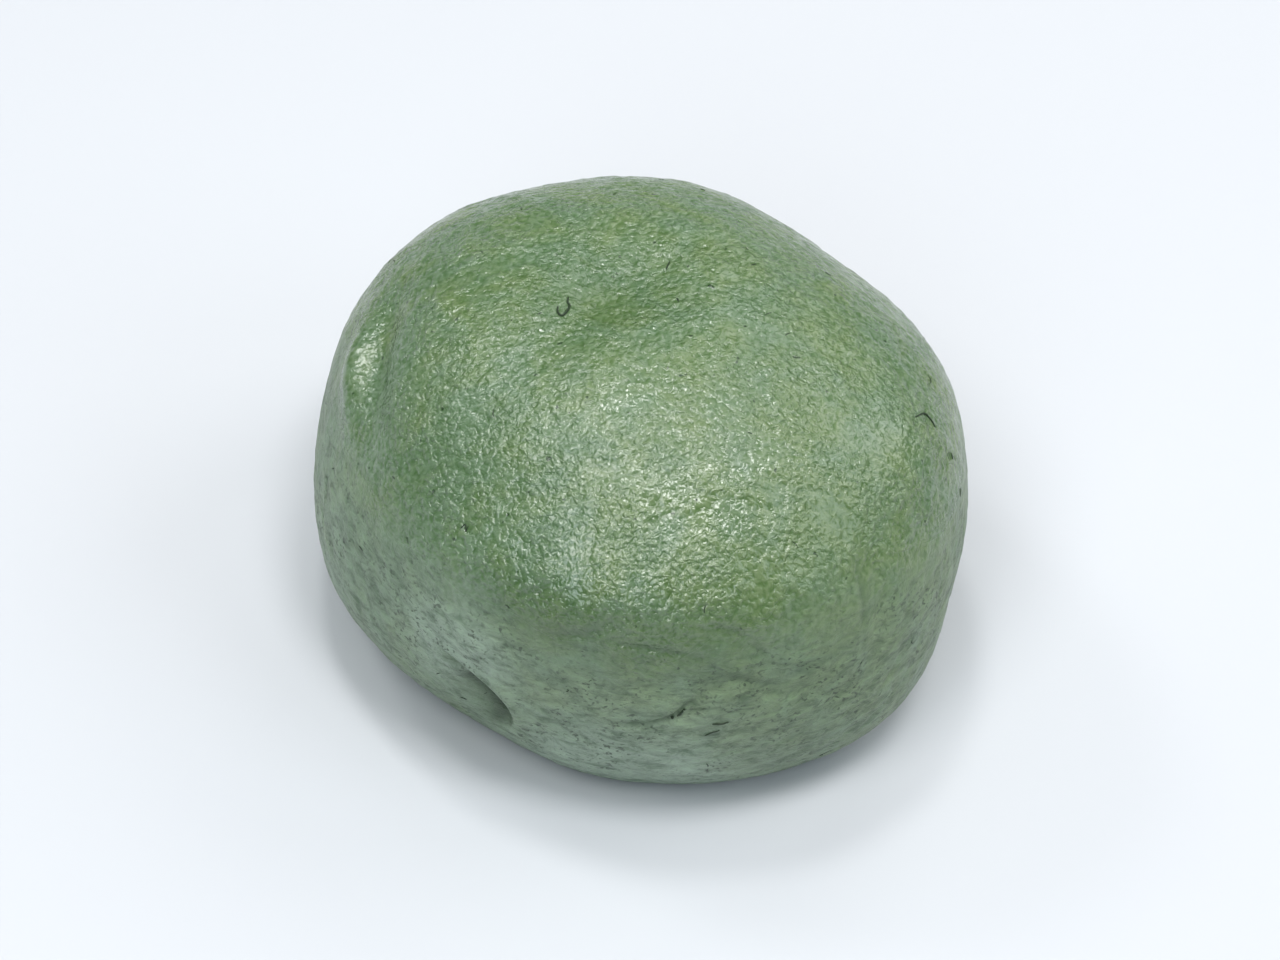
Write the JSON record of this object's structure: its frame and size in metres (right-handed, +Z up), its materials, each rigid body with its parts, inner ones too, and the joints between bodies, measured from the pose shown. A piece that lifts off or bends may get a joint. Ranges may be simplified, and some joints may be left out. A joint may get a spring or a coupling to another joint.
{
  "type": "mugwort dango",
  "caption": "Round rice-dough dumpling, green with mugwort: a squat hand-rolled ball resting on a flat base, with a soft hollow on top and a pinched pocket low at the front",
  "frame": {"origin": "middle of the flat base, on the surface the dumpling rests on", "axes": "+Z up, -Y the front, +X to the right as seen from the front"},
  "size_m": [0.0616, 0.061, 0.0377],
  "materials": {
    "mugwort_dough": "moist satin"
  },
  "bodies": {
    "root": {"dango": "mugwort_dough"}
  },
  "joints": []
}
